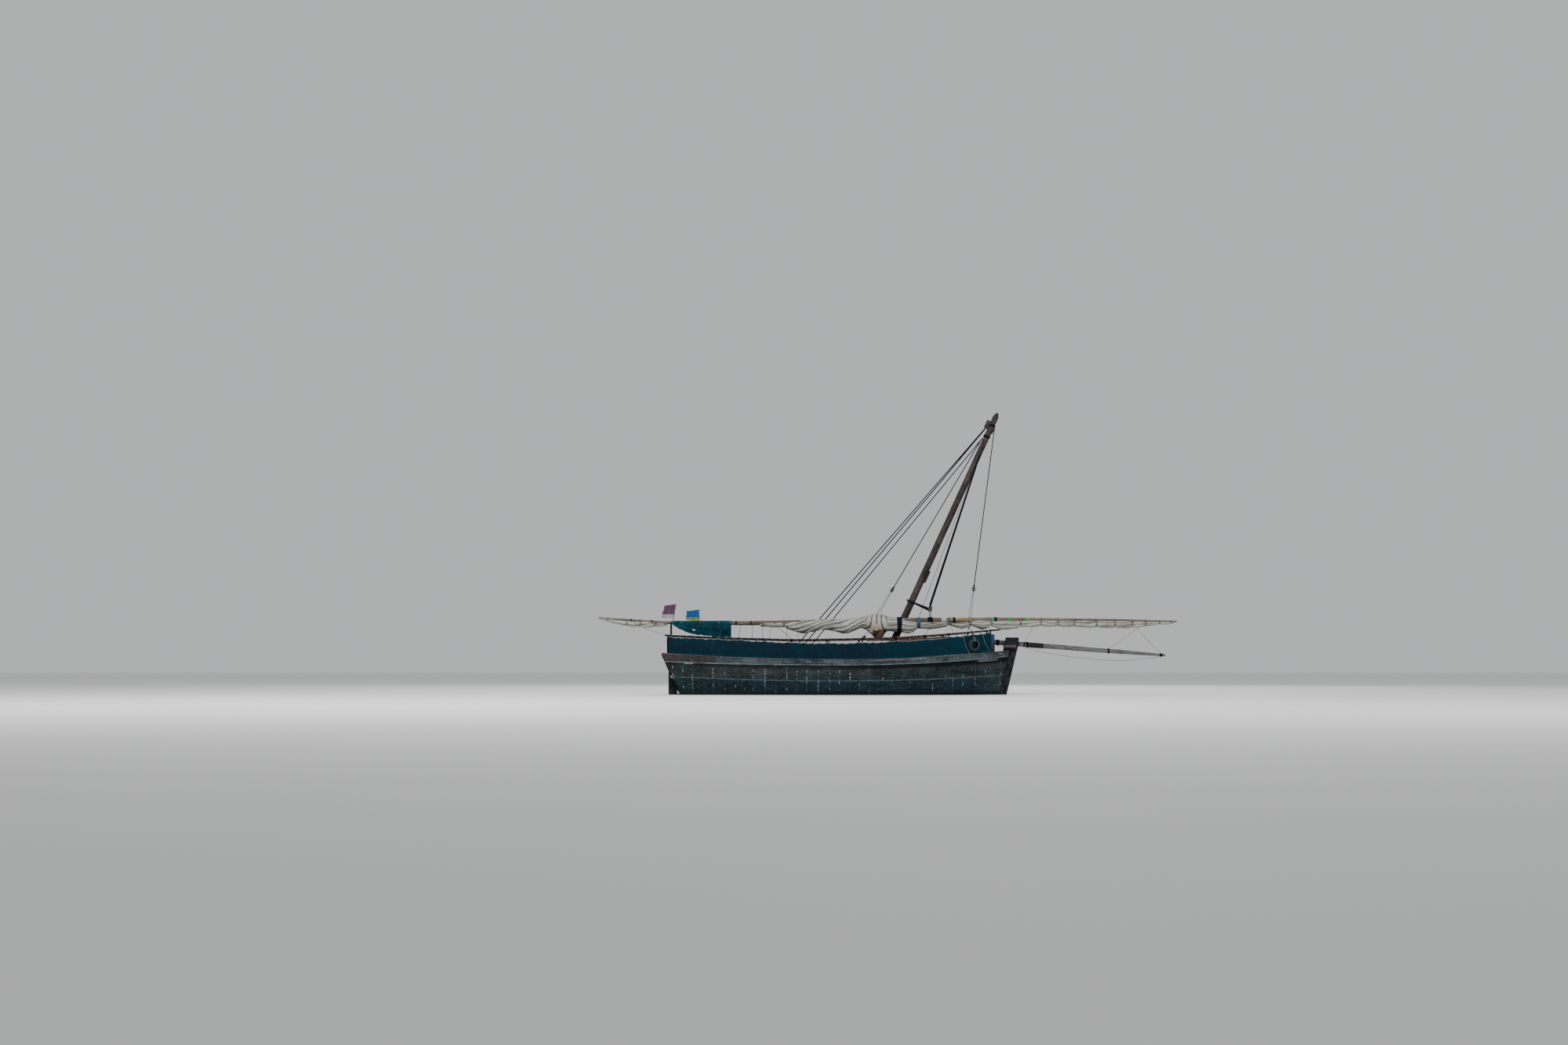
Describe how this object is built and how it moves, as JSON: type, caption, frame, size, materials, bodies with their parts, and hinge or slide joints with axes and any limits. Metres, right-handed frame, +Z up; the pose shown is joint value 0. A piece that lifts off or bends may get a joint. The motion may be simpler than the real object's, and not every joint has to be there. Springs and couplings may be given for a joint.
{
  "type": "lateen-rigged cargo dhow",
  "caption": "Wooden cargo dhow afloat: open hold, poop and foredeck, raked mast, lowered lateen yard with furled sail, rudder with tiller, bowsprit, cloth bulwarks.",
  "frame": {"origin": "on the centreline amidships at the waterline", "axes": "+X towards the bow, +Y to port, +Z up"},
  "size_m": [27.4578, 5.024, 14.732],
  "materials": {
    "tarred_planking": "tarred and weathered",
    "grey_timber": "bare, grey and worn",
    "red_timber": "oiled",
    "deck_timber": "bare, worn",
    "spar_timber": "oiled, worn",
    "dark_pole": "rough",
    "sail_canvas": "furled cotton canvas",
    "wash_cloth": "coated cloth",
    "tarpaulin": "torn tarpaulin",
    "maroon_flag": "faded cotton",
    "blue_flag": "faded cotton",
    "dark_rope": "laid rope",
    "pale_rope": "laid rope",
    "tyre_rubber": "worn",
    "blue_plastic": "faded"
  },
  "bodies": {
    "hull": {"planking_port": "tarred_planking", "planking_starboard": "tarred_planking", "wale_port": "grey_timber", "wale_starboard": "grey_timber", "gunwale_port": "grey_timber", "gunwale_starboard": "grey_timber", "frames_port": "red_timber", "frames_starboard": "red_timber", "keel": "tarred_planking", "stem": "tarred_planking", "keelson": "red_timber", "sternpost": "tarred_planking", "transom": "tarred_planking", "hold_floor": "deck_timber", "beam_poop_aft": "red_timber", "beam_poop": "red_timber", "beam_hold_aft": "red_timber", "beam_hold_fore": "red_timber", "beam_foredeck": "red_timber", "mast_beam": "red_timber", "poop_deck": "deck_timber", "foredeck": "deck_timber", "mast_step": "red_timber", "mast": "spar_timber", "masthead_block": "dark_pole", "bowsprit": "grey_timber", "bowsprit_bitt": "grey_timber", "taffrail": "grey_timber", "rail_port": "dark_pole", "rail_starboard": "dark_pole", "rail_stern": "dark_pole", "wash_cloth_port": "wash_cloth", "wash_cloth_starboard": "wash_cloth", "wash_cloth_stern": "wash_cloth", "yard_crutch": "dark_pole", "tyre_fender": "tyre_rubber", "drum": "blue_plastic", "flagpole_maroon": "dark_pole", "flagpole_blue": "dark_pole", "flag_maroon": "maroon_flag", "flag_blue": "blue_flag", "stay_aft_backstay": "dark_rope", "stay_fore_backstay": "dark_rope", "stay_running_backstay": "dark_rope", "stay_shroud": "dark_rope", "stay_forestay": "dark_rope", "slack_line": "pale_rope"},
    "rudder": {"rudder": "tarred_planking", "tiller": "grey_timber"},
    "yard": {"yard_aft_spar": "spar_timber", "yard_fore_spar": "spar_timber", "yard_sling": "dark_rope", "yard_parrel": "dark_rope", "sail_tail": "sail_canvas", "sail_aft": "sail_canvas", "sail_bunch": "sail_canvas", "sail_mid": "sail_canvas", "sail_fore": "sail_canvas", "tarp": "tarpaulin"}
  },
  "joints": [
    {"name": "rudder_turn", "type": "hinge", "parent": "hull", "child": "rudder", "pos_m": [-7.58024, 0, 0], "axis": [-0.402, 0, 0.9157], "range_deg": [-35, 35]},
    {"name": "yard_hoist", "type": "slide", "parent": "hull", "child": "yard", "axis": [0.4176, 0, 0.9086], "range_m": [0, 7.8]}
  ]
}
